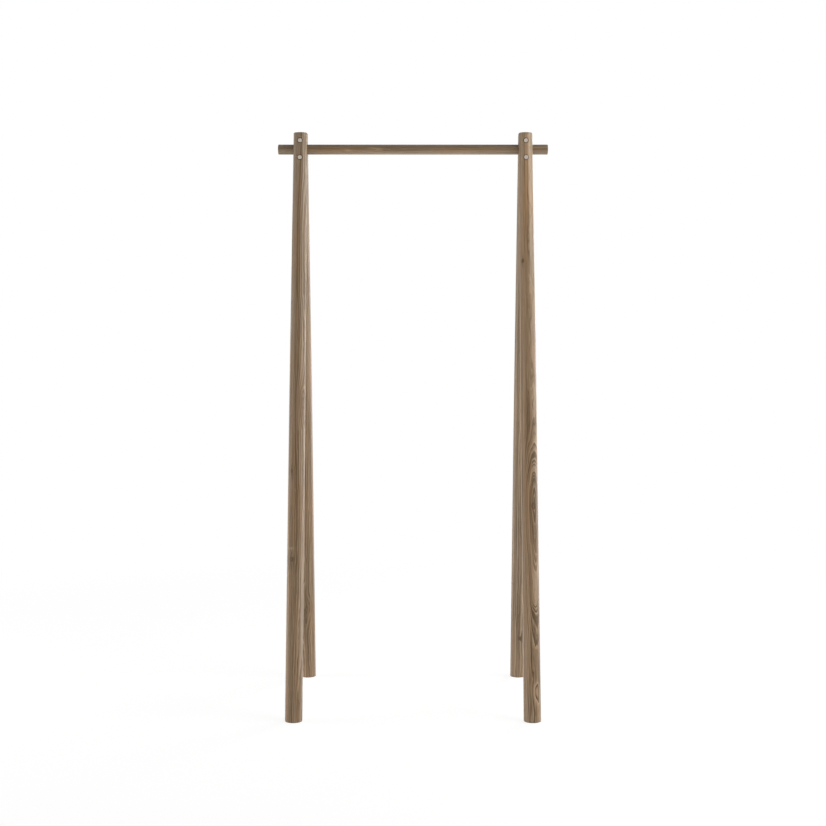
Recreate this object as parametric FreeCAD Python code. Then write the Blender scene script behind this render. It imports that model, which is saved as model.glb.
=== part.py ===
"""Open frame wardrobe: two pairs of leaning round legs that clamp one round hanging rail.

Millimetres, +Z up. The rail runs along X and the front of the wardrobe faces -Y.
The origin lies on the floor, midway between the four feet.
"""

import FreeCAD, Part
import math
import os

# Frame
HEIGHT = 1700.0  # floor to the level tops of the legs
FOOT_SPREAD = 550.0  # between the front and the rear leg axes at the floor
TOP_SPREAD = 16.0  # between the front and the rear leg axes at the top
LEG_GAP = 0.4  # between the flats of a front and a rear leg, so that the bolts clamp the rail

# Legs: nearly straight up to the knee, then tapering to the top
FOOT_DIAMETER = 49.2
KNEE_DIAMETER = 47.2
TOP_DIAMETER = 40.9
KNEE_HEIGHT = 935.0
FOOT_ROUND = 1.6  # radius on the edge of the foot
TOP_ROUND = 1.4  # radius on the edge of the top

# Hanging rail
RAIL_DIAMETER = 30.0
RAIL_LENGTH = 810.0
RAIL_OVERHANG = 67.5  # from a leg's axis out to the end of the rail
RAIL_DROP = 48.5  # from the leg tops down to the rail's axis
RAIL_END_ROUND = 1.8
SEAT_CLEARANCE = 0.1  # round the rail in its half-round seats

# Connector bolts: a sleeve nut in each front leg, a socket bolt in each rear leg
UPPER_BOLT_RISE = 23.5  # from the rail's axis up to the upper bolts
LOWER_BOLT_DROP = 28.0  # from the rail's axis down to the lower bolts
BOLT_DIAMETER = 6.0
BARREL_DIAMETER = 8.0  # outside of the sleeve nut
BARREL_LENGTH = 22.0
BORE_DEPTH = 19.0  # threaded bore of the sleeve nut
THREAD_REACH = 14.0  # how far the bolt goes into the sleeve nut
THREAD_CLEARANCE = 0.05
HOLE_CLEARANCE = 0.2  # round a barrel or a shank in the wood
HEAD_DIAMETER = 12.6
HEAD_THICKNESS = 3.0
HEAD_ROUND = 0.7
HEAD_RECESS = 1.0  # from the leg's outer line in to the face of the head
SOCKET_WIDTH = 4.0  # across the flats of the hexagon
SOCKET_DEPTH = 2.0

# Washers at the bottom of each counterbore
WASHER_DIAMETER = 15.6
WASHER_THICKNESS = 1.2
WASHER_CLEARANCE = 0.2  # round the washer, and round what passes through it

# Worked out from the sizes above
HALF_SPACING = RAIL_LENGTH / 2 - RAIL_OVERHANG  # from the middle to the leg axes
HALF_GAP = LEG_GAP / 2
LEAN = (FOOT_SPREAD - TOP_SPREAD) / 2 / HEIGHT  # run of a leg's axis per unit of height
AXIS_PER_HEIGHT = math.hypot(1, LEAN)
RAIL_HEIGHT = HEIGHT - RAIL_DROP
BOLT_HEIGHTS = {
    "upper": RAIL_HEIGHT + UPPER_BOLT_RISE,
    "lower": RAIL_HEIGHT - LOWER_BOLT_DROP,
}
SIDES = {"left": -1, "right": 1}
FRONT, REAR = -1, 1
X_AXIS = FreeCAD.Vector(1, 0, 0)
Z_AXIS = FreeCAD.Vector(0, 0, 1)


def cylinder_along_y(x, z, diameter, near, far, way):
    """A cylinder from the distance near to the distance far in front of (way -1) or behind the middle plane."""
    base = FreeCAD.Vector(x, way * near, z)
    return Part.makeCylinder(diameter / 2, far - near, base, FreeCAD.Vector(0, way, 0))


def line_value(start, end, at):
    """The value at `at` on the straight line through two (place, value) points."""
    share = (at - start[0]) / (end[0] - start[0])
    return start[1] + share * (end[1] - start[1])


def leg_stations():
    """(distance along the axis from the floor, radius) at the foot, the knee and the top."""
    return [
        (0.0, FOOT_DIAMETER / 2),
        (KNEE_HEIGHT * AXIS_PER_HEIGHT, KNEE_DIAMETER / 2),
        (HEIGHT * AXIS_PER_HEIGHT, TOP_DIAMETER / 2),
    ]


def leg_blank():
    """The turned leg about +Z before it is cut to length, run out past the floor and the top."""
    foot, knee, top = leg_stations()
    run_out = FOOT_DIAMETER
    low, high = foot[0] - run_out, top[0] + run_out
    outline = [
        (0.0, low),
        (line_value(foot, knee, low), low),
        (knee[1], knee[0]),
        (line_value(knee, top, high), high),
        (0.0, high),
    ]
    points = [FreeCAD.Vector(radius, 0, along) for radius, along in outline]
    face = Part.Face(Part.makePolygon(points + points[:1]))
    return face.revolve(FreeCAD.Vector(), Z_AXIS, 360)


def outer_reach(height):
    """Distance from the middle plane to the outer line of a leg at a height above the knee."""
    cos_lean = 1 / AXIS_PER_HEIGHT
    sin_lean = LEAN / AXIS_PER_HEIGHT
    knee, top = (
        (
            along * cos_lean + radius * sin_lean,
            FOOT_SPREAD / 2 - along * sin_lean + radius * cos_lean,
        )
        for along, radius in leg_stations()[1:]
    )
    return line_value(knee, top, height)


def head_face(height):
    """Distance from the middle plane to the outer face of a bolt head or a nut head."""
    return outer_reach(height) - HEAD_RECESS


def head_seat(height):
    """Distance from the middle plane to the face where a head meets its washer."""
    return head_face(height) - HEAD_THICKNESS


def washer_seat(height):
    """Distance from the middle plane to the bottom of a counterbore."""
    return head_seat(height) - WASHER_THICKNESS


def edges_at(solid, height):
    """The edges of a solid that lie at one height."""
    tolerance = 1e-4
    return [
        edge
        for edge in solid.Edges
        if abs(edge.BoundBox.ZMin - height) < tolerance
        and abs(edge.BoundBox.ZMax - height) < tolerance
    ]


def leg(side, way):
    """One leg, cut level at the floor and the top, with its flat, its rail seat and its bolt holes."""
    x = side * HALF_SPACING
    solid = leg_blank()
    direction = FreeCAD.Vector(0, -way * LEAN, 1)
    foot = FreeCAD.Vector(x, way * FOOT_SPREAD / 2, 0)
    solid.Placement = FreeCAD.Placement(foot, FreeCAD.Rotation(Z_AXIS, direction))

    reach = FOOT_SPREAD / 2 + FOOT_DIAMETER
    slab_corner = FreeCAD.Vector(x - FOOT_DIAMETER, -reach, 0)
    solid = solid.common(Part.makeBox(2 * FOOT_DIAMETER, 2 * reach, HEIGHT, slab_corner))
    solid = solid.Solids[0].makeFillet(FOOT_ROUND, edges_at(solid.Solids[0], 0.0))
    solid = solid.makeFillet(TOP_ROUND, edges_at(solid, HEIGHT))

    waste_y = -HALF_GAP if way == FRONT else -reach
    waste_corner = FreeCAD.Vector(x - FOOT_DIAMETER, waste_y, 0)
    waste = Part.makeBox(2 * FOOT_DIAMETER, reach + HALF_GAP, HEIGHT, waste_corner)
    cuts = [waste, rail_seat(x)]
    passing = BARREL_DIAMETER if way == FRONT else BOLT_DIAMETER
    for height in BOLT_HEIGHTS.values():
        hole = passing + 2 * HOLE_CLEARANCE
        counterbore = WASHER_DIAMETER + 2 * WASHER_CLEARANCE
        cuts.append(cylinder_along_y(x, height, hole, 0.0, reach, way))
        cuts.append(cylinder_along_y(x, height, counterbore, washer_seat(height), reach, way))
    return solid.cut(cuts).Solids[0]


def rail_seat(x):
    """The round passage for the rail through a pair of legs, half of it in each leg."""
    start = FreeCAD.Vector(x - FOOT_DIAMETER, 0, RAIL_HEIGHT)
    return Part.makeCylinder(
        RAIL_DIAMETER / 2 + SEAT_CLEARANCE, 2 * FOOT_DIAMETER, start, X_AXIS
    )


def hanging_rail():
    start = FreeCAD.Vector(-RAIL_LENGTH / 2, 0, RAIL_HEIGHT)
    rail = Part.makeCylinder(RAIL_DIAMETER / 2, RAIL_LENGTH, start, X_AXIS)
    rims = [edge for edge in rail.Edges if isinstance(edge.Curve, Part.Circle)]
    return rail.makeFillet(RAIL_END_ROUND, rims)


def head(x, height, way):
    """A round head with an eased outer rim."""
    solid = cylinder_along_y(x, height, HEAD_DIAMETER, head_seat(height), head_face(height), way)
    outer_y = way * head_face(height)
    rims = [
        edge
        for edge in solid.Edges
        if isinstance(edge.Curve, Part.Circle) and math.isclose(edge.Curve.Center.y, outer_y)
    ]
    return solid.makeFillet(HEAD_ROUND, rims)


def barrel_end(height):
    """Distance from the middle plane to the open end of a sleeve nut."""
    return head_seat(height) - BARREL_LENGTH


def sleeve_nut(x, height):
    """A smooth-faced nut with a blind bore, in the front leg."""
    end = barrel_end(height)
    barrel = cylinder_along_y(x, height, BARREL_DIAMETER, end, head_seat(height), FRONT)
    bore_diameter = BOLT_DIAMETER + 2 * THREAD_CLEARANCE
    bore = cylinder_along_y(x, height, bore_diameter, end, end + BORE_DEPTH, FRONT)
    return head(x, height, FRONT).fuse(barrel).removeSplitter().cut(bore).Solids[0]


def hexagon_socket(x, height):
    """The key's hexagon, sunk into the face of a bolt head."""
    corner_radius = SOCKET_WIDTH / math.sqrt(3)
    floor_y = head_face(height) - SOCKET_DEPTH
    points = [
        FreeCAD.Vector(
            x + corner_radius * math.cos(math.radians(degrees)),
            floor_y,
            height + corner_radius * math.sin(math.radians(degrees)),
        )
        for degrees in range(0, 360, 60)
    ]
    past_the_face = FreeCAD.Vector(0, HEAD_THICKNESS, 0)
    return Part.Face(Part.makePolygon(points + points[:1])).extrude(past_the_face)


def socket_bolt(x, height):
    """A bolt from the rear leg across the middle plane into the sleeve nut."""
    tip = barrel_end(height) + THREAD_REACH
    start = FreeCAD.Vector(x, -tip, height)
    length = tip + head_seat(height)
    shank = Part.makeCylinder(BOLT_DIAMETER / 2, length, start, FreeCAD.Vector(0, 1, 0))
    bolt = head(x, height, REAR).fuse(shank).removeSplitter()
    return bolt.cut(hexagon_socket(x, height)).Solids[0]


def washer(x, height, way):
    """A flat ring between a head and the bottom of its counterbore."""
    passing = BARREL_DIAMETER if way == FRONT else BOLT_DIAMETER
    near, far = washer_seat(height), head_seat(height)
    disc = cylinder_along_y(x, height, WASHER_DIAMETER, near, far, way)
    bore_diameter = passing + 2 * WASHER_CLEARANCE
    return disc.cut(cylinder_along_y(x, height, bore_diameter, near, far, way)).Solids[0]


def pieces():
    """Every piece under its own name."""
    made = {"hanging_rail": hanging_rail()}
    for side_name, side in SIDES.items():
        made[f"leg_front_{side_name}"] = leg(side, FRONT)
        made[f"leg_rear_{side_name}"] = leg(side, REAR)
        x = side * HALF_SPACING
        for level, height in BOLT_HEIGHTS.items():
            place = f"{side_name}_{level}"
            made[f"sleeve_nut_{place}"] = sleeve_nut(x, height)
            made[f"socket_bolt_{place}"] = socket_bolt(x, height)
            made[f"nut_washer_{place}"] = washer(x, height, FRONT)
            made[f"bolt_washer_{place}"] = washer(x, height, REAR)
    return made


def main():
    os.makedirs("parts", exist_ok=True)
    for name, solid in pieces().items():
        if not solid.isValid() or len(solid.Solids) != 1:
            raise ValueError(f"{name} isn't one valid solid")
        solid.exportStep(f"parts/{name}.step")
        print(f"{name}: {solid.Volume / 1000:.1f} cm3")


main()
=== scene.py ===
"""Looks of the open frame wardrobe: stained wood, metal fasteners, a pale studio and the photo's camera.

Metres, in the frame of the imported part: +Z up, the rail along X, the front towards -Y.
"""

import math
from collections import namedtuple

import bmesh
import bpy
from mathutils import Matrix, Vector


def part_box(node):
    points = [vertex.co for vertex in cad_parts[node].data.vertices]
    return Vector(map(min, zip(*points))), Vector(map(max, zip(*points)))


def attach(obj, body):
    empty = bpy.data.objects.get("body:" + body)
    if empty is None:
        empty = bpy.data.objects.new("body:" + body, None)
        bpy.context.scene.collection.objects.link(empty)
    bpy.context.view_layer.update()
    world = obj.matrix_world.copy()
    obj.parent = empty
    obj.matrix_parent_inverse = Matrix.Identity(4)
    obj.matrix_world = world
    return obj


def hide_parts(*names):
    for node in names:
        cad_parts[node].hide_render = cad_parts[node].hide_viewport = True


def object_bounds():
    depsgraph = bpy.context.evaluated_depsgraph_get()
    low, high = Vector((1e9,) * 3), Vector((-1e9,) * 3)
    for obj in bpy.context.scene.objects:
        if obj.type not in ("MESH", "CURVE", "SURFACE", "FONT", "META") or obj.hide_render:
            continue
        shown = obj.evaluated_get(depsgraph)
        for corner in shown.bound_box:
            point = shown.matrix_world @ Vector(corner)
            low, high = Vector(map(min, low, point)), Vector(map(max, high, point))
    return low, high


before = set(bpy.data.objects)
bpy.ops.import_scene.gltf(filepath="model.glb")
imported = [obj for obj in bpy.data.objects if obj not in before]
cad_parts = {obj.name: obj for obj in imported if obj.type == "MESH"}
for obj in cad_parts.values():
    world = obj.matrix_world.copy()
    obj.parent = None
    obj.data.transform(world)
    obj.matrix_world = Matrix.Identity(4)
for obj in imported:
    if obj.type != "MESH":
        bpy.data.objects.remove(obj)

CAD_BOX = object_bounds()

# Sizes of the frame
HEIGHT = CAD_BOX[1].z
FOOT_SPREAD = 0.550
TOP_SPREAD = 0.016
LEG_GAP = 0.0004
FOOT_DIAMETER = 0.0492
KNEE_DIAMETER = 0.0472
TOP_DIAMETER = 0.0409
KNEE_HEIGHT = 0.935
FOOT_ROUND = 0.0016
TOP_ROUND = 0.0014
RAIL_DIAMETER = 0.030
RAIL_END_ROUND = 0.0018
SEAT_CLEARANCE = 0.0001
HOLE_CLEARANCE = 0.0002
BARREL_DIAMETER = 0.008
BOLT_DIAMETER = 0.006
COUNTERBORE_DIAMETER = 0.016

RAIL_LOW, RAIL_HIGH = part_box("hanging_rail")
RAIL_HEIGHT = (RAIL_LOW.z + RAIL_HIGH.z) / 2
LEAN = (FOOT_SPREAD - TOP_SPREAD) / 2 / HEIGHT
COS_LEAN = 1 / math.hypot(1, LEAN)
SIN_LEAN = LEAN * COS_LEAN
SIDES = ("left", "right")
WAYS = {"front": -1, "rear": 1}
LEVELS = ("upper", "lower")

# Fineness of the meshes: points round a piece, steps of a rounded edge, and rings along each stretch
AROUND = 96
ROUND_STEPS = 5
SHAFT_RINGS = 60
JOINT_RINGS = 24
RAIL_RINGS = 80
SHARP_ANGLE = math.radians(35)

# The finer stretch of a leg starts this far below the rail
JOINT_REACH = 3 * RAIL_DIAMETER

# Rounds that find where a leaning leg's surface crosses a level
LEVEL_ROUNDS = 4

# A counterbore's cutter ends this many times as far out as the washer
CUTTER_REACH = 4

# Points of a cut mesh closer than this become one
WELD = 1e-5

# Noise in the wood: cycles in a metre across and along a piece
WAVE_SCALE = (18.0, 18.0, 10.0)
SLOW_SCALE = (26.0, 26.0, 3.0)
QUICK_SCALE = (70.0, 70.0, 16.0)
FIBRE_SCALE = (1300.0, 1300.0, 20.0)
STREAK_SCALE = (170.0, 170.0, 2.2)
PATCH_SCALE = (42.0, 42.0, 5.0)
PORE_SCALE = (800.0, 800.0, 34.0)
HEART_SCALE = 1.6
NOISE_MIDDLE = 0.5

# Detail of the finest noise
FINE_NOISE = {"detail": 4.0, "roughness": 0.65}

# How far the sides of a mark wander, and how far out from the piece's axis it has faded in
MARK_WAVE = 0.010
FACING_DEPTH = 0.012

# A knot's breadth beside its length, and its edge and pale heart in shares of its radius
KNOT_BREADTH = 0.7
KNOT_EDGE = (1.3, 0.7)
KNOT_HEART = (0.2, 0.8)

# How far the trunk's heart wanders, and how far slow and quick noise shift the growth rings
HEART_WANDER = 0.020
SLOW_SHIFT = 0.014
QUICK_SHIFT = 0.0055

# Years of growth: how unevenly they follow each other, the season's pale part, and how strong the
# faintest year is
YEAR_SCALE = 0.7
YEAR_WANDER = 1.5
LATE_START, LATE_FULL, LATE_END = 0.15, 0.85, 0.92
FAINTEST_YEAR = 0.40

# From one thin dark line to the next, and half a line's width in spacings
LINE_SPACING = 0.0021
LINE_HALF = 0.20

# How much each part of the figure lightens the wood, as its middle and its weight
BAND_LIGHT = (0.30, 0.80)
STREAK_LIGHT = (NOISE_MIDDLE, 1.3)
FIBRE_LIGHT = (NOISE_MIDDLE, 0.80)
PATCH_LIGHT = (NOISE_MIDDLE, 0.6)
LINE_LIGHT = (0.2, -0.25)
PORE_LIGHT = (0.0, -0.20)

# The lightness of plain wood, the lightness that gives the lightest colour, and the noise at a pore's edge
BASE_LIGHT = 0.37
FULL_LIGHT = 1.35
PORE_EDGE = (0.64, 0.74)

# Heights along a leg between which the figure calms down, and between which the wood's lightness and
# coolness change
FIGURE_RANGE = (0.76, 0.96)
TONE_RANGE = (0.1, 1.7)
COOL_RANGE = (0.8, 1.7)

# The cast that cool wood and painted sheen are multiplied by, the lightness over which pale wood turns
# cooler and by how much, how far the hue swings, and the coolest that the colour gets
COOL_CAST = (0.90, 1.00, 1.13)
PALE_RANGE = (0.55, 1.05)
PALE_COOL = 0.6
HUE_SWING = (NOISE_MIDDLE, 2.5)
COOLEST = 1.1

# Patches where the stain is redder, and how strongly knots and end grain darken it
RED_RANGE = (0.45, 0.72)
RED_SHARE = 0.4
KNOT_SHARE = 0.88
END_RANGE = (0.75, 0.95)
END_SHARE = 0.35

# Relief and gloss of the wood
BAND_RELIEF = 0.4
FIBRE_RELIEF = 0.6
PORE_RELIEF = -0.5
WOOD_RELIEF = 0.0002
WOOD_RELIEF_STRENGTH = 0.30
WOOD_ROUGHNESS = 0.49
FIBRE_ROUGHNESS = 0.16
BAND_ROUGHNESS = -0.04
WOOD_SPECULAR = 0.36

# Linear colours
WOOD_LIGHT = (0.483, 0.325, 0.195)
WOOD_DARK = (0.081, 0.0453, 0.0157)
WOOD_RED = (0.185, 0.104, 0.049)
KNOT_COLOUR = (0.070, 0.034, 0.010)
NICKEL_COLOUR = (0.42, 0.36, 0.305)
# The washers' oxide, dark enough to paint the shade in the ring round each head
OXIDE_AND_SHADE_COLOUR = (0.045, 0.036, 0.028)
FLOOR_COLOUR = (0.86, 0.86, 0.86)
WHITE = (1.0, 1.0, 1.0)

# Satin nickel: turning marks, clouds that darken it, relief and roughness
NICKEL_GRAIN_SCALE = (2600.0, 400.0, 2600.0)
NICKEL_CLOUD_SCALE = (180.0, 180.0, 180.0)
NICKEL_CLOUD_RANGE = (0.3, 0.7)
NICKEL_SHADE = 0.82
NICKEL_RELIEF = 0.0001
NICKEL_RELIEF_STRENGTH = 0.2
NICKEL_GRAIN_RANGE = (0.2, 0.8)
NICKEL_ROUGHNESS = (0.48, 0.64)

# Dark oxide, dark enough to paint the shade in the ring round each head: wear that lightens and smooths it
OXIDE_WEAR_SCALE = (500.0, 500.0, 500.0)
OXIDE_WEAR_RANGE = (0.5, 0.75)
OXIDE_WEAR_LIGHT = 2.2
OXIDE_GLOSS_RANGE = (0.3, 0.7)
OXIDE_ROUGHNESS = (0.55, 0.42)
OXIDE_METALLIC = 0.7

# The floor's half side, how much of its own light the eye sees near the object, the rest being plain
# white, its brightness in the light, and the distances from the middle over which it turns all white
FLOOR_HALF = 60.0
SHADOW_SHARE = 0.25
LIT_FLOOR = 0.50
SHADOW_RANGE = (0.8, 3.0)

# From the middle of the object out to the upright softboxes, and the places of the other two lamps
LIGHT_DISTANCE = 3.3
OVERHEAD_PLACE = (0.0, 0.0, 4.0)
BOUNCE_PLACE = (0.0, 0.0, 0.001)

# Camera, fitted to the photograph
CAMERA_PLACE = (0.0, -4.218, 1.0464)
CAMERA_PITCH = math.radians(0.786)
CAMERA_LENS = 61.0
CAMERA_SHIFT = -0.052

# A mark in the grain, or a stretch of painted light, shade or sheen: its angle round the piece's axis and
# its place along it, its half width and its half lengths up and down, how far the growth rings are lifted
# there, how much lighter and cooler it is drawn, and for a knot how far the grain parts, the knot's radius,
# or 0, and how pale its heart is. On a leg, -90 degrees is the front and 0 the right. On the rail, 180
# degrees is the front and 90 the top.
Mark = namedtuple(
    "Mark", "degrees along half_width up down lift lighter cooler part radius pale", defaults=(0.0,) * 6
)

# A piece of wood: the trunk's heart as an angle and a distance from the piece's axis, the ring width, then
# pairs of values low down and at the top for how lively the figure is and how light and how cool the wood is
# drawn, a seed, and the marks
Timber = namedtuple("Timber", "heart ring figure light cool seed marks")


def patch(degrees, along, half_width, up, down, lighter=0.0, cooler=0.0):
    """A stretch drawn lighter or darker, cooler or warmer: mostly figure in the wood, in a few places
    painted light, shade and sheen.
    """
    return Mark(degrees, along, half_width, up, down, lighter=lighter, cooler=cooler)


def swell(degrees, along, half_width, up, down, lift, lighter=0.0):
    """A place where the growth rings swell round a branch."""
    return Mark(degrees, along, half_width, up, down, lift, lighter)


def knot(degrees, along, half_width, up, down, lift, lighter, part, radius, pale=0.0):
    """A swell round a knot, beside which the grain parts."""
    return Mark(degrees, along, half_width, up, down, lift, lighter, part=part, radius=radius, pale=pale)


TIMBERS = {
    "leg_front_left": Timber(
        heart=(180, 0.045),
        ring=0.0052,
        figure=(0.75, 0.75),
        light=(-0.12, 0.14),
        cool=(0.00, 1.05),
        seed=3.1,
        marks=(
            patch(-58, 1.500, half_width=0.006, up=0.180, down=0.200, lighter=0.22),
            patch(-80, 1.520, half_width=0.004, up=0.150, down=0.180, lighter=-0.14),
            patch(-90, 1.270, half_width=0.050, up=0.130, down=0.160, lighter=-0.10),
            patch(-14, 0.960, half_width=0.010, up=0.200, down=0.180, lighter=-0.14),
            swell(-56, 0.915, half_width=0.012, up=0.040, down=0.060, lift=0.010),
            patch(-56, 0.860, half_width=0.005, up=0.080, down=0.080, lighter=-0.20),
            knot(
                -121, 0.706, half_width=0.010, up=0.020, down=0.022,
                lift=0.003, lighter=-0.15, part=0.5, radius=0.0044, pale=0.2,
            ),
            patch(-82, 0.560, half_width=0.005, up=0.100, down=0.100, lighter=0.20),
            patch(-125, 0.484, half_width=0.009, up=0.004, down=0.004, lighter=0.35),
            knot(
                -112, 0.453, half_width=0.014, up=0.018, down=0.030,
                lift=0.004, lighter=-0.20, part=0.6, radius=0.0052, pale=0.3,
            ),
            patch(-88, 0.545, half_width=0.018, up=0.090, down=0.070, lighter=-0.14),
            # Painted light: the lower left side drawn lighter, standing in for the light that falls on that
            # edge.
            patch(-150, 0.350, half_width=0.014, up=0.350, down=0.400, lighter=0.20),
            patch(-80, 0.100, half_width=0.004, up=0.120, down=0.120, lighter=-0.20),
            # Painted highlight and sheen: a lighter, cooler strip down the right side, standing in for the
            # light from the right.
            patch(-30, 0.350, half_width=0.010, up=0.700, down=0.350, lighter=0.17, cooler=0.7),
            patch(-92, 1.600, half_width=0.009, up=0.110, down=0.160, lighter=-0.04, cooler=-0.9),
        ),
    ),
    "leg_front_right": Timber(
        heart=(130, 0.060),
        ring=0.0060,
        figure=(1.30, 0.65),
        light=(0.05, 0.32),
        cool=(0.00, 0.40),
        seed=11.7,
        marks=(
            patch(-86, 1.600, half_width=0.019, up=0.220, down=0.150, lighter=0.37),
            patch(-86, 1.540, half_width=0.0030, up=0.120, down=0.160, lighter=-0.40),
            patch(-108, 1.600, half_width=0.0022, up=0.080, down=0.100, lighter=-0.25),
            patch(-61, 1.420, half_width=0.0028, up=0.200, down=0.200, lighter=0.30),
            patch(-95, 1.420, half_width=0.0050, up=0.070, down=0.090, lighter=-0.20),
            knot(
                -134, 1.325, half_width=0.010, up=0.022, down=0.028,
                lift=0.003, lighter=-0.20, part=0.6, radius=0.0046,
            ),
            swell(-60, 0.625, half_width=0.024, up=0.110, down=0.300, lift=0.052),
            knot(
                -64, 0.605, half_width=0.012, up=0.020, down=0.020,
                lift=0.003, lighter=-0.10, part=0.6, radius=0.0072, pale=0.9,
            ),
            patch(-56, 0.545, half_width=0.008, up=0.022, down=0.022, lighter=-0.25),
            patch(-60, 0.440, half_width=0.009, up=0.070, down=0.050, lighter=0.06),
            swell(-66, 0.344, half_width=0.012, up=0.030, down=0.030, lift=0.010),
            patch(-48, 0.190, half_width=0.010, up=0.080, down=0.080, lighter=-0.35),
            swell(-64, 0.085, half_width=0.010, up=0.025, down=0.030, lift=0.007, lighter=0.25),
            patch(-80, 0.080, half_width=0.005, up=0.080, down=0.100, lighter=0.20),
            patch(-94, 0.190, half_width=0.0022, up=0.120, down=0.100, lighter=-0.40),
            patch(-73, 0.265, half_width=0.0022, up=0.080, down=0.070, lighter=-0.40),
            patch(-90, 0.980, half_width=0.050, up=0.100, down=0.100, lighter=0.06),
            patch(-90, 0.680, half_width=0.050, up=0.240, down=0.300, lighter=-0.17),
            # Painted light and shade low down: the left side drawn lighter and the right side darker,
            # standing in for how the light falls across the leg.
            patch(-135, 0.250, half_width=0.018, up=0.350, down=0.300, lighter=0.18),
            patch(-30, 0.300, half_width=0.018, up=0.300, down=0.350, lighter=-0.21),
            # Painted sheen: the right side drawn cooler and greyer along the leg, standing in for the pale
            # reflection of the light from the right.
            patch(-22, 1.450, half_width=0.010, up=0.500, down=0.450, lighter=0.03, cooler=0.6),
            patch(-22, 0.550, half_width=0.010, up=0.450, down=0.600, lighter=0.05, cooler=0.8),
            patch(-94, 1.580, half_width=0.010, up=0.130, down=0.220, cooler=-1.1),
        ),
    ),
    "leg_rear_left": Timber(
        heart=(35, 0.050),
        ring=0.0050,
        figure=(0.90, 0.80),
        light=(-0.06, 0.14),
        cool=(0.00, 0.80),
        seed=23.9,
        marks=(
            swell(-58, 0.237, half_width=0.012, up=0.040, down=0.070, lift=0.010),
            knot(
                100, 0.900, half_width=0.011, up=0.030, down=0.040,
                lift=0.004, lighter=-0.20, part=0.6, radius=0.0050, pale=0.4,
            ),
        ),
    ),
    "leg_rear_right": Timber(
        heart=(150, 0.055),
        ring=0.0056,
        figure=(0.80, 0.80),
        light=(-0.01, 0.39),
        cool=(0.60, 1.05),
        seed=37.3,
        marks=(
            knot(
                -82, 0.135, half_width=0.008, up=0.012, down=0.014,
                lift=0.002, lighter=-0.12, part=0.3, radius=0.0052,
            ),
            knot(
                70, 1.100, half_width=0.012, up=0.035, down=0.045,
                lift=0.005, lighter=-0.20, part=0.6, radius=0.0054, pale=0.4,
            ),
        ),
    ),
    "hanging_rail": Timber(
        heart=(115, 0.030),
        ring=0.0046,
        figure=(0.25, 0.25),
        light=(0.01, 0.01),
        cool=(0.95, 0.95),
        seed=51.3,
        marks=(
            swell(170, -0.112, half_width=0.009, up=0.060, down=0.060, lift=0.010),
            swell(205, -0.196, half_width=0.008, up=0.040, down=0.040, lift=0.008),
            patch(174, -0.113, half_width=0.0030, up=0.024, down=0.022, lighter=0.52, cooler=-0.3),
            patch(196, -0.195, half_width=0.0030, up=0.009, down=0.009, lighter=0.40),
            patch(190, -0.265, half_width=0.0060, up=0.050, down=0.060, lighter=-0.12),
            patch(184, -0.190, half_width=0.0070, up=0.150, down=0.130, lighter=-0.03, cooler=-1.5),
            patch(184, 0.160, half_width=0.0070, up=0.150, down=0.100, cooler=-1.3),
            patch(186, 0.370, half_width=0.0060, up=0.060, down=0.060, lighter=0.08, cooler=-1.2),
            # Painted sheen: a paler, cooler strip along the rail's lower front, standing in for the
            # reflection of the bright floor.
            patch(228, 0.000, half_width=0.0050, up=0.450, down=0.450, lighter=0.10, cooler=1.2),
        ),
    ),
}


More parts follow.
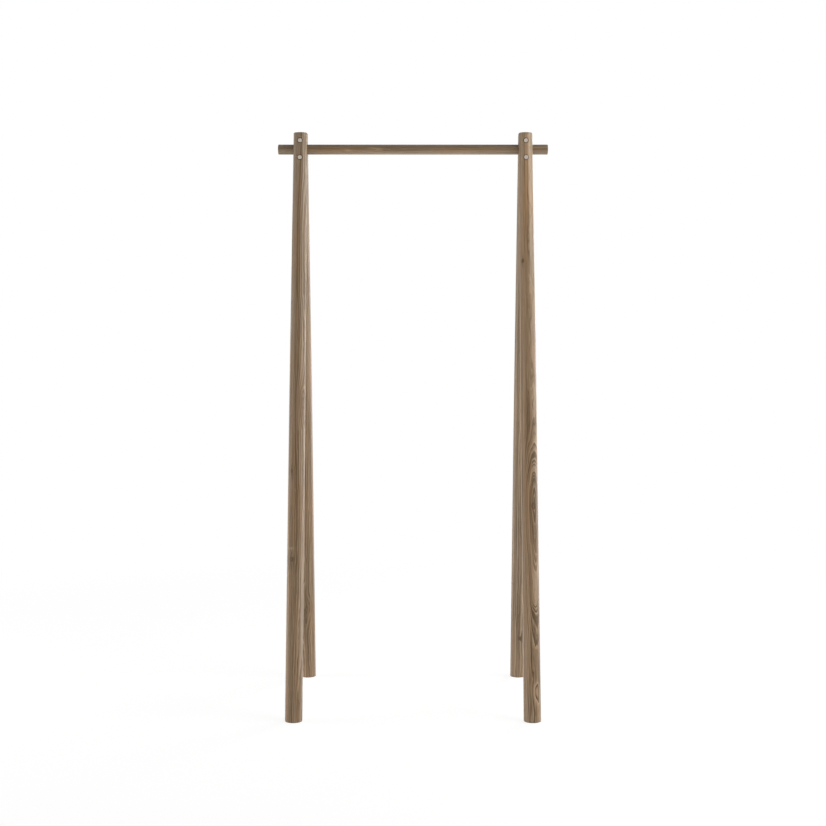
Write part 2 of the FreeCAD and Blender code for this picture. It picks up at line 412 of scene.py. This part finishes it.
class Nodes:
    """A short way to write a node tree: most methods add a node or two and return an output."""

    def __init__(self, tree):
        self.tree = tree

    def add(self, kind, inputs=(), **settings):
        """A new node, with values or links for its inputs."""
        node = self.tree.nodes.new(kind)
        for name, value in settings.items():
            setattr(node, name, value)
        for name, value in dict(inputs).items():
            self.put(node.inputs[name], value)
        return node

    def put(self, socket, value):
        """Links an output to a socket, or sets the socket's own value."""
        if isinstance(value, bpy.types.NodeSocket):
            self.tree.links.new(value, socket)
        elif isinstance(value, tuple) and len(value) == 3 and socket.type == "RGBA":
            socket.default_value = (*value, 1)
        else:
            socket.default_value = value

    def math(self, operation, *values):
        return self.add("ShaderNodeMath", enumerate(values), operation=operation).outputs[0]

    def sum(self, *values):
        total = values[0]
        for value in values[1:]:
            total = self.math("ADD", total, value)
        return total

    def times(self, a, b):
        return self.math("MULTIPLY", a, b)

    def about(self, value, middle, weight):
        """How far a value lies from its middle, times a weight."""
        return self.times(self.math("SUBTRACT", value, middle), weight)

    def squares(self, a, b):
        """The sum of two squares."""
        inputs = {0: a, 1: a, 2: self.times(b, b)}
        return self.add("ShaderNodeMath", inputs, operation="MULTIPLY_ADD").outputs[0]

    def ramp(self, value, low, high, to_low=0.0, to_high=1.0, smooth=True):
        """The value taken from low..high to to_low..to_high and held at the ends."""
        inputs = {"Value": value, "From Min": low, "From Max": high, "To Min": to_low, "To Max": to_high}
        kind = "SMOOTHSTEP" if smooth else "LINEAR"
        return self.add("ShaderNodeMapRange", inputs, interpolation_type=kind).outputs[0]

    def vector(self, x, y, z):
        return self.add("ShaderNodeCombineXYZ", {"X": x, "Y": y, "Z": z}).outputs[0]

    def split(self, vector):
        """The three parts of a vector."""
        return self.add("ShaderNodeSeparateXYZ", {"Vector": vector}).outputs

    def scaled(self, vector, scale, shift=0.0):
        """A vector stretched along each axis and shifted by the same amount on all three."""
        inputs = {"Vector": vector, "Scale": scale, "Location": (shift, shift, shift)}
        return self.add("ShaderNodeMapping", inputs).outputs[0]

    def noise(self, vector, detail=2.0, roughness=0.5):
        """Noise at a point, as Fac and as Color."""
        inputs = {"Vector": vector, "Scale": 1.0, "Detail": detail, "Roughness": roughness}
        return self.add("ShaderNodeTexNoise", inputs).outputs

    def noise_along(self, value):
        """Noise along a line."""
        inputs = {"W": value, "Scale": 1.0, "Detail": 1.0}
        return self.add("ShaderNodeTexNoise", inputs, noise_dimensions="1D").outputs[0]

    def mix(self, share, a, b, blend="MIX", clamp=True):
        """Colour a with a share of colour b."""
        node = self.add("ShaderNodeMix", data_type="RGBA", blend_type=blend, clamp_factor=clamp)
        for index, value in ((0, share), (6, a), (7, b)):
            self.put(node.inputs[index], value)
        return node.outputs[2]

    def bump(self, height, distance, strength):
        """A normal bent by a height."""
        inputs = {"Height": height, "Distance": distance, "Strength": strength}
        return self.add("ShaderNodeBump", inputs).outputs[0]

    def principled(self, **inputs):
        """A Principled shader, with the inputs' names written with underscores."""
        sockets = {name.replace("_", " "): value for name, value in inputs.items()}
        return self.add("ShaderNodeBsdfPrincipled", sockets).outputs[0]


def new_material(name):
    """An empty material with its output node."""
    material = bpy.data.materials.new(name)
    material.use_nodes = True
    material.node_tree.nodes.clear()
    nodes = Nodes(material.node_tree)
    output = nodes.add("ShaderNodeOutputMaterial")
    return material, nodes, output


def knot_mask(n, mark, across, along):
    """1 in a knot and 0 outside, less in a pale heart."""
    sideways = n.times(across, 1 / mark.radius)
    lengthways = n.times(along, KNOT_BREADTH / mark.radius)
    from_middle = n.math("SQRT", n.squares(sideways, lengthways))
    return n.times(n.ramp(from_middle, *KNOT_EDGE), n.ramp(from_middle, *KNOT_HEART, 1 - mark.pale, 1.0))


def grain_field(n, timber, place):
    """Depth in the trunk at a point, the mask of the knots, and how light and how cool the marks are."""
    x, y, z = n.split(place)
    wave = n.split(n.noise(n.scaled(place, WAVE_SCALE, timber.seed))["Color"])
    wavy_x = n.sum(x, n.about(wave[0], NOISE_MIDDLE, MARK_WAVE))
    wavy_y = n.sum(y, n.about(wave[1], NOISE_MIDDLE, MARK_WAVE))
    lift, knots, lighter, cooler = 0.0, 0.0, 0.0, 0.0
    for mark in timber.marks:
        angle = math.radians(mark.degrees)
        cos, sin = math.cos(angle), math.sin(angle)
        across = n.sum(n.times(wavy_x, -sin), n.times(wavy_y, cos))
        facing = n.ramp(n.sum(n.times(x, cos), n.times(y, sin)), 0.0, FACING_DEPTH)
        along = n.math("SUBTRACT", z, mark.along)
        above = n.math("MAXIMUM", n.times(along, 1 / mark.up), 0.0)
        below = n.math("MINIMUM", n.times(along, 1 / mark.down), 0.0)
        away = n.squares(n.times(across, 1 / mark.half_width), n.sum(above, below))
        share = n.times(n.math("EXPONENT", n.times(away, -1.0)), facing)
        lift = n.sum(lift, n.times(share, mark.lift))
        lighter = n.sum(lighter, n.times(share, mark.lighter))
        cooler = n.sum(cooler, n.times(share, mark.cooler))
        if mark.radius:
            parting = n.times(n.times(across, share), -mark.part)
            x = n.sum(x, n.times(parting, -sin))
            y = n.sum(y, n.times(parting, cos))
            knots = n.sum(knots, n.times(knot_mask(n, mark, across, along), facing))

    heart_degrees, heart_distance = timber.heart
    heart_angle = math.radians(heart_degrees)
    wander = n.split(n.noise(n.vector(timber.seed, 0.0, n.times(z, HEART_SCALE)), detail=1.0)["Color"])
    heart_x = n.sum(n.about(wander[0], NOISE_MIDDLE, HEART_WANDER), heart_distance * math.cos(heart_angle))
    heart_y = n.sum(n.about(wander[1], NOISE_MIDDLE, HEART_WANDER), heart_distance * math.sin(heart_angle))
    from_heart = n.math("SQRT", n.squares(n.math("SUBTRACT", x, heart_x), n.math("SUBTRACT", y, heart_y)))
    slow = n.noise(n.scaled(place, SLOW_SCALE, timber.seed))["Fac"]
    quick = n.noise(n.scaled(place, QUICK_SCALE, timber.seed))["Fac"]
    depth = n.sum(from_heart, lift, n.times(slow, SLOW_SHIFT), n.times(quick, QUICK_SHIFT))
    return depth, knots, lighter, cooler


def growth_bands(n, timber, depth):
    """The pale late wood of each year: slow to start, sharp to end, and not as strong in every year."""
    years = n.times(depth, 1 / timber.ring)
    years = n.sum(years, n.times(n.noise_along(n.times(years, YEAR_SCALE)), YEAR_WANDER))
    season = n.math("FRACT", years)
    late = n.times(n.ramp(season, LATE_START, LATE_FULL), n.ramp(season, 1.0, LATE_END))
    year = n.sum(n.math("FLOOR", years), timber.seed)
    strength = n.add("ShaderNodeTexWhiteNoise", {"W": year}, noise_dimensions="1D").outputs[0]
    return n.times(late, n.ramp(strength, 0.0, 1.0, FAINTEST_YEAR, 1.0, smooth=False))


def growth_lines(n, depth):
    """Thin dark lines among the broad bands."""
    from_line = n.math("PINGPONG", n.times(depth, 1 / LINE_SPACING), 0.5)
    return n.ramp(from_line, LINE_HALF, 0.0)


def end_grain(n):
    """How far a face is cut across the grain: the share of the darker end grain."""
    normal = n.add("ShaderNodeNewGeometry").outputs["Normal"]
    turn = {"vector_type": "NORMAL", "convert_from": "WORLD", "convert_to": "OBJECT"}
    own_normal = n.add("ShaderNodeVectorTransform", {"Vector": normal}, **turn).outputs[0]
    return n.ramp(n.math("ABSOLUTE", n.split(own_normal)[2]), *END_RANGE, 0.0, END_SHARE)


def wood_material(name, timber, tilt=0.0):
    """Brown stained pine: growth rings round the trunk's heart, marks, fibres, pores and end grain, with
    painted light, shade and sheen among the marks on some pieces.
    """
    material, n, output = new_material(name)
    own = n.add("ShaderNodeTexCoord").outputs["Object"]
    place = n.add("ShaderNodeMapping", {"Vector": own, "Rotation": (-tilt, 0.0, 0.0)}).outputs[0]
    depth, knots, lighter, cooler = grain_field(n, timber, place)
    bands = growth_bands(n, timber, depth)
    lines = growth_lines(n, depth)
    fibre = n.noise(n.scaled(place, FIBRE_SCALE, timber.seed), **FINE_NOISE)["Fac"]
    streak = n.noise(n.scaled(place, STREAK_SCALE, timber.seed), **FINE_NOISE)["Fac"]
    patches = n.noise(n.scaled(place, PATCH_SCALE, timber.seed))
    blotch, hue = patches["Fac"], n.split(patches["Color"])[1]
    pores = n.ramp(n.noise(n.scaled(place, PORE_SCALE, timber.seed), detail=1.0)["Fac"], *PORE_EDGE)
    along = n.split(place)[2]
    figure = n.ramp(along, *FIGURE_RANGE, *timber.figure)
    tone = n.ramp(along, *TONE_RANGE, *timber.light, smooth=False)

    light = n.sum(
        n.times(n.about(bands, *BAND_LIGHT), figure),
        n.about(streak, *STREAK_LIGHT),
        n.about(fibre, *FIBRE_LIGHT),
        n.about(blotch, *PATCH_LIGHT),
        n.about(lines, *LINE_LIGHT),
        n.about(pores, *PORE_LIGHT),
        lighter,
        tone,
        BASE_LIGHT,
    )
    cool = n.sum(
        n.ramp(along, *COOL_RANGE, *timber.cool, smooth=False),
        n.ramp(light, *PALE_RANGE, 0.0, PALE_COOL),
        n.about(hue, *HUE_SWING),
        cooler,
    )
    colour = n.mix(n.ramp(light, 0.0, FULL_LIGHT, smooth=False), WOOD_DARK, WOOD_LIGHT)
    colour = n.mix(n.ramp(blotch, *RED_RANGE, 0.0, RED_SHARE), colour, WOOD_RED)
    colour = n.mix(n.math("MINIMUM", cool, COOLEST), colour, COOL_CAST, "MULTIPLY", clamp=False)
    colour = n.mix(n.times(knots, KNOT_SHARE), colour, KNOT_COLOUR)
    colour = n.mix(end_grain(n), colour, WOOD_DARK)

    relief = n.sum(n.times(bands, BAND_RELIEF), n.times(fibre, FIBRE_RELIEF), n.times(pores, PORE_RELIEF))
    rough = n.sum(WOOD_ROUGHNESS, n.times(fibre, FIBRE_ROUGHNESS), n.times(bands, BAND_ROUGHNESS))
    shader = n.principled(
        Base_Color=colour,
        Roughness=rough,
        Specular_IOR_Level=WOOD_SPECULAR,
        Normal=n.bump(relief, WOOD_RELIEF, WOOD_RELIEF_STRENGTH),
    )
    n.put(output.inputs["Surface"], shader)
    return material


def nickel_material():
    """Satin nickel: fine turning marks, faint clouds and a slight warm cast."""
    material, n, output = new_material("satin_nickel")
    place = n.add("ShaderNodeTexCoord").outputs["Object"]
    grain = n.noise(n.scaled(place, NICKEL_GRAIN_SCALE))["Fac"]
    cloud = n.noise(n.scaled(place, NICKEL_CLOUD_SCALE))["Fac"]
    darker = tuple(NICKEL_SHADE * part for part in NICKEL_COLOUR)
    shader = n.principled(
        Base_Color=n.mix(n.ramp(cloud, *NICKEL_CLOUD_RANGE), darker, NICKEL_COLOUR),
        Metallic=1.0,
        Roughness=n.ramp(grain, *NICKEL_GRAIN_RANGE, *NICKEL_ROUGHNESS),
        Normal=n.bump(grain, NICKEL_RELIEF, NICKEL_RELIEF_STRENGTH),
    )
    n.put(output.inputs["Surface"], shader)
    return material


def oxide_and_shade_material():
    """Dark oxide on the washers, a little worn, and dark enough to paint the shade in the ring round each
    head.
    """
    material, n, output = new_material("dark_oxide_and_shade")
    place = n.add("ShaderNodeTexCoord").outputs["Object"]
    wear = n.noise(n.scaled(place, OXIDE_WEAR_SCALE), detail=3.0)["Fac"]
    lighter = tuple(OXIDE_WEAR_LIGHT * part for part in OXIDE_AND_SHADE_COLOUR)
    shader = n.principled(
        Base_Color=n.mix(n.ramp(wear, *OXIDE_WEAR_RANGE), OXIDE_AND_SHADE_COLOUR, lighter),
        Metallic=OXIDE_METALLIC,
        Roughness=n.ramp(wear, *OXIDE_GLOSS_RANGE, *OXIDE_ROUGHNESS),
    )
    n.put(output.inputs["Surface"], shader)
    return material


def new_object(name, mesh_maker):
    """A mesh object from a function that fills a bmesh."""
    mesh = bpy.data.meshes.new(name)
    shape = bmesh.new()
    mesh_maker(shape)
    bmesh.ops.recalc_face_normals(shape, faces=shape.faces)
    shape.to_mesh(mesh)
    shape.free()
    thing = bpy.data.objects.new(name, mesh)
    bpy.context.scene.collection.objects.link(thing)
    return thing


def skin_rings(shape, rings):
    """Quads between rings of points, and a fan over the first and the last ring."""
    made = [[shape.verts.new(point) for point in ring] for ring in rings]
    for low, high in zip(made, made[1:]):
        for i in range(AROUND):
            j = (i + 1) % AROUND
            shape.faces.new((low[i], low[j], high[j], high[i]))
    for ring in (made[0], made[-1]):
        middle = shape.verts.new(sum((vert.co for vert in ring), Vector()) / AROUND)
        for i in range(AROUND):
            shape.faces.new((ring[i], ring[(i + 1) % AROUND], middle))


def round_profile(low, high, low_round, high_round, levels):
    """(level, inset) steps from low to high with a quarter round at each end."""
    turns = [math.pi / 2 * i / ROUND_STEPS for i in range(ROUND_STEPS + 1)]
    quarter = [(1 - math.sin(turn), 1 - math.cos(turn)) for turn in turns]
    start = [(low + low_round * rise, low_round * inset) for rise, inset in reversed(quarter)]
    end = [(high - high_round * rise, high_round * inset) for rise, inset in quarter]
    return start + [(level, 0.0) for level in levels] + end


def spread(low, high, count):
    """Evenly spaced values strictly between low and high."""
    return [low + (high - low) * i / (count + 1) for i in range(1, count + 1)]


def leg_radius(along):
    """Radius of a turned leg at a distance along its axis."""
    height = along * COS_LEAN
    if height < KNEE_HEIGHT:
        share = height / KNEE_HEIGHT
        return (FOOT_DIAMETER + share * (KNEE_DIAMETER - FOOT_DIAMETER)) / 2
    share = (height - KNEE_HEIGHT) / (HEIGHT - KNEE_HEIGHT)
    return (KNEE_DIAMETER + share * (TOP_DIAMETER - KNEE_DIAMETER)) / 2


def leg_ring(height, inset, way):
    """The level section of a leg at one height, in the leg's own frame."""
    points = []
    for i in range(AROUND):
        angle = 2 * math.pi * i / AROUND
        along = height / COS_LEAN
        for _ in range(LEVEL_ROUNDS):
            across = leg_radius(along) * math.sin(angle)
            along = (height - way * SIN_LEAN * across) / COS_LEAN
        radius = leg_radius(along) - inset
        across = radius * math.sin(angle)
        along = (height - way * SIN_LEAN * across) / COS_LEAN
        points.append(Vector((radius * math.cos(angle), across, along)))
    return points


def leg_tilt(way):
    """The angle about X by which a leg leans in from its foot."""
    return way * math.atan(LEAN)


def lathe(name, steps, matrix):
    """A solid of revolution about +Z through (radius, level) steps, closed at both ends."""
    turns = [2 * math.pi * i / AROUND for i in range(AROUND)]

    def fill(shape):
        rings = [
            [Vector((radius * math.cos(turn), radius * math.sin(turn), level)) for turn in turns]
            for radius, level in steps
        ]
        skin_rings(shape, rings)

    thing = new_object(name, fill)
    thing.matrix_world = matrix
    return thing


def half_space(name, way):
    """A block on the far side of the middle plane, which cuts the flat of a leg."""
    def fill(shape):
        bmesh.ops.create_cube(shape, size=2.0)

    thing = new_object(name, fill)
    reach = 2 * HEIGHT
    middle_y = -way * (reach - LEG_GAP / 2)
    size = Matrix.Diagonal((reach, reach, reach, 1))
    thing.matrix_world = Matrix.Translation((0, middle_y, HEIGHT / 2)) @ size
    return thing


def cut(thing, cutters):
    """Cuts the cutters out of a mesh, welds the points that fall together and deletes the cutters."""
    for cutter in cutters:
        modifier = thing.modifiers.new(cutter.name, "BOOLEAN")
        modifier.object = cutter
        modifier.operation = "DIFFERENCE"
        modifier.solver = "EXACT"
    bpy.context.view_layer.update()
    solved = bpy.data.meshes.new_from_object(thing.evaluated_get(bpy.context.evaluated_depsgraph_get()))
    thing.modifiers.clear()
    thing.data = solved
    shape = bmesh.new()
    shape.from_mesh(solved)
    bmesh.ops.remove_doubles(shape, verts=shape.verts, dist=WELD)
    shape.to_mesh(solved)
    shape.free()
    for cutter in cutters:
        bpy.data.objects.remove(cutter)


def smooth(thing):
    """Smooth shading, with sharp edges where faces meet at a clear angle."""
    thing.data.shade_smooth()
    thing.data.set_sharp_from_angle(angle=SHARP_ANGLE)


def dress(thing, node, material):
    """The piece stands for its CAD node, moves with the frame and wears its material."""
    thing.data.materials.clear()
    thing.data.materials.append(material)
    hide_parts(node)
    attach(thing, "root")


def bolt_cutter(side_name, level, way_name):
    """The hole and the counterbore for one fastener, along Y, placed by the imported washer."""
    kind, passing = ("nut", BARREL_DIAMETER) if way_name == "front" else ("bolt", BOLT_DIAMETER)
    low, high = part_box(f"{kind}_washer_{side_name}_{level}")
    middle = (low + high) / 2
    seat = min(abs(low.y), abs(high.y))
    hole = passing / 2 + HOLE_CLEARANCE
    steps = [
        (hole, -seat),
        (hole, seat),
        (COUNTERBORE_DIAMETER / 2, seat),
        (COUNTERBORE_DIAMETER / 2, CUTTER_REACH * seat),
    ]
    turn = Matrix.Rotation(-WAYS[way_name] * math.pi / 2, 4, "X")
    return lathe(f"cut_{side_name}_{level}", steps, Matrix.Translation((middle.x, 0, middle.z)) @ turn)


def seat_cutter(x):
    """The rail's seat across a leg."""
    radius = RAIL_DIAMETER / 2 + SEAT_CLEARANCE
    steps = [(radius, -FOOT_DIAMETER), (radius, FOOT_DIAMETER)]
    turn = Matrix.Rotation(math.pi / 2, 4, "Y")
    return lathe("cut_seat", steps, Matrix.Translation((x, 0, RAIL_HEIGHT)) @ turn)


def leg(side_name, way_name):
    """One turned leg with its flat, its rail seat and its bolt holes."""
    way = WAYS[way_name]
    node = f"leg_{way_name}_{side_name}"
    low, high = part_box(node)
    x = (low.x + high.x) / 2
    joint_start = RAIL_HEIGHT - JOINT_REACH
    shaft = spread(FOOT_ROUND, joint_start, SHAFT_RINGS)
    joint = spread(joint_start, HEIGHT - TOP_ROUND, JOINT_RINGS)
    profile = round_profile(0.0, HEIGHT, FOOT_ROUND, TOP_ROUND, shaft + joint)
    tilt = Matrix.Rotation(leg_tilt(way), 3, "X")

    def fill(shape):
        rings = [leg_ring(level, inset, way) for level, inset in profile]
        skin_rings(shape, [[tilt @ point for point in ring] for ring in rings])

    thing = new_object(f"turned_{node}", fill)
    thing.matrix_world = Matrix.Translation((x, way * FOOT_SPREAD / 2, 0))
    bolt_cutters = [bolt_cutter(side_name, level, way_name) for level in LEVELS]
    cut(thing, [half_space("cut_flat", way), seat_cutter(x), *bolt_cutters])
    smooth(thing)
    dress(thing, node, wood_material(f"wood_{node}", TIMBERS[node], leg_tilt(way)))


def rail():
    """The round rail. Its own X, Y and Z lie along the frame's Y, Z and X."""
    half = (RAIL_HIGH.x - RAIL_LOW.x) / 2
    levels = spread(-half + RAIL_END_ROUND, half - RAIL_END_ROUND, RAIL_RINGS)
    profile = round_profile(-half, half, RAIL_END_ROUND, RAIL_END_ROUND, levels)
    steps = [(RAIL_DIAMETER / 2 - inset, level) for level, inset in profile]
    matrix = Matrix(((0, 0, 1, 0), (1, 0, 0, 0), (0, 1, 0, RAIL_HEIGHT), (0, 0, 0, 1)))
    thing = lathe("turned_rail", steps, matrix)
    smooth(thing)
    dress(thing, "hanging_rail", wood_material("wood_rail", TIMBERS["hanging_rail"]))


def fasteners():
    """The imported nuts, bolts and washers keep their shape and get their metal."""
    nickel, oxide = nickel_material(), oxide_and_shade_material()
    # The washers' dark oxide also paints the shade in the ring round each head
    metals = {"sleeve_nut": nickel, "socket_bolt": nickel, "nut_washer": oxide, "bolt_washer": oxide}
    for side_name in SIDES:
        for level in LEVELS:
            for kind, metal in metals.items():
                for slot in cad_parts[f"{kind}_{side_name}_{level}"].material_slots:
                    slot.material = metal


def seen_directly(n):
    """1 for rays from the camera and for mirror-like and see-through rays, else 0."""
    path = n.add("ShaderNodeLightPath").outputs
    either = n.math("MAXIMUM", path["Is Camera Ray"], path["Is Glossy Ray"])
    return n.math("MAXIMUM", either, path["Is Transmission Ray"])


def floor():
    """A wide pale floor: white to the camera, with a soft trace of the object's shadow."""
    def fill(shape):
        bmesh.ops.create_grid(shape, x_segments=1, y_segments=1, size=FLOOR_HALF)

    thing = new_object("floor", fill)
    material, n, output = new_material("pale_floor")
    faint_colour = tuple(SHADOW_SHARE * part for part in FLOOR_COLOUR)
    real = n.add("ShaderNodeBsdfDiffuse", {"Color": FLOOR_COLOUR}).outputs[0]
    faint = n.add("ShaderNodeBsdfDiffuse", {"Color": faint_colour}).outputs[0]
    glow = n.add("ShaderNodeEmission", {"Strength": 1 - SHADOW_SHARE * LIT_FLOOR}).outputs[0]
    near = n.add("ShaderNodeAddShader", {0: faint, 1: glow}).outputs[0]
    far = n.add("ShaderNodeEmission", {"Strength": 1.0}).outputs[0]
    place = n.add("ShaderNodeTexCoord").outputs["Object"]
    distance = n.add("ShaderNodeVectorMath", {0: place}, operation="LENGTH").outputs["Value"]
    shown = n.add("ShaderNodeMixShader", {0: n.ramp(distance, *SHADOW_RANGE), 1: near, 2: far}).outputs[0]
    surface = n.add("ShaderNodeMixShader", {0: seen_directly(n), 1: real, 2: shown}).outputs[0]
    n.put(output.inputs["Surface"], surface)
    thing.data.materials.append(material)


def surroundings():
    """A white backdrop to the eye, which throws no light of its own."""
    world = bpy.data.worlds.new("studio")
    bpy.context.scene.world = world
    world.use_nodes = True
    world.node_tree.nodes.clear()
    n = Nodes(world.node_tree)
    background = n.add("ShaderNodeBackground", {"Color": WHITE, "Strength": seen_directly(n)}).outputs[0]
    n.put(n.add("ShaderNodeOutputWorld").inputs["Surface"], background)


def softbox(name, place, target, size, radiance):
    """A large area lamp that looks at a point, with its brightness given beside white, which is 1."""
    lamp = bpy.data.lights.new(name, "AREA")
    lamp.shape = "RECTANGLE"
    lamp.size, lamp.size_y = size
    lamp.energy = radiance * math.pi * size[0] * size[1]
    thing = bpy.data.objects.new(name, lamp)
    bpy.context.scene.collection.objects.link(thing)
    thing.location = place
    thing.rotation_euler = (Vector(target) - Vector(place)).to_track_quat("-Z", "Y").to_euler()
    thing.visible_camera = False


def upright_softbox(name, degrees, half_degrees, low, high, radiance):
    """A softbox beside the object, by its angle from the front to the right and half the angle it fills."""
    angle = math.radians(degrees)
    middle = (low + high) / 2
    place = (LIGHT_DISTANCE * math.sin(angle), -LIGHT_DISTANCE * math.cos(angle), middle)
    breadth = 2 * LIGHT_DISTANCE * math.tan(math.radians(half_degrees))
    softbox(name, place, (0.0, 0.0, middle), (breadth, high - low), radiance)


def lights():
    """A high softbox on the right, more beside and behind it, one on the left, one above and a lit floor."""
    upright_softbox("key_right", degrees=68, half_degrees=21, low=1.7, high=3.4, radiance=6.2)
    upright_softbox("side_right", degrees=110, half_degrees=20, low=0.1, high=1.3, radiance=5.2)
    upright_softbox("back_right", degrees=142, half_degrees=12, low=0.1, high=2.9, radiance=4.6)
    upright_softbox("side_left", degrees=-88, half_degrees=15, low=0.3, high=2.6, radiance=3.95)
    softbox("overhead", OVERHEAD_PLACE, target=(0.0, 0.0, 0.0), size=(4.0, 4.0), radiance=0.47)
    softbox("floor_bounce", BOUNCE_PLACE, target=(0.0, 0.0, 1.0), size=(16.0, 16.0), radiance=1.07)


def camera():
    """The photograph's camera: level in roll and tipped down a little, with its view shifted down."""
    data = bpy.data.cameras.new("photo_camera")
    data.lens = CAMERA_LENS
    data.shift_y = CAMERA_SHIFT
    thing = bpy.data.objects.new("photo_camera", data)
    bpy.context.scene.collection.objects.link(thing)
    thing.location = CAMERA_PLACE
    thing.rotation_euler = (math.pi / 2 - CAMERA_PITCH, 0, 0)
    bpy.context.scene.camera = thing


bpy.context.scene.view_settings.view_transform = "Standard"
camera()
for way_name in WAYS:
    for side_name in SIDES:
        leg(side_name, way_name)
rail()
fasteners()
floor()
surroundings()
lights()
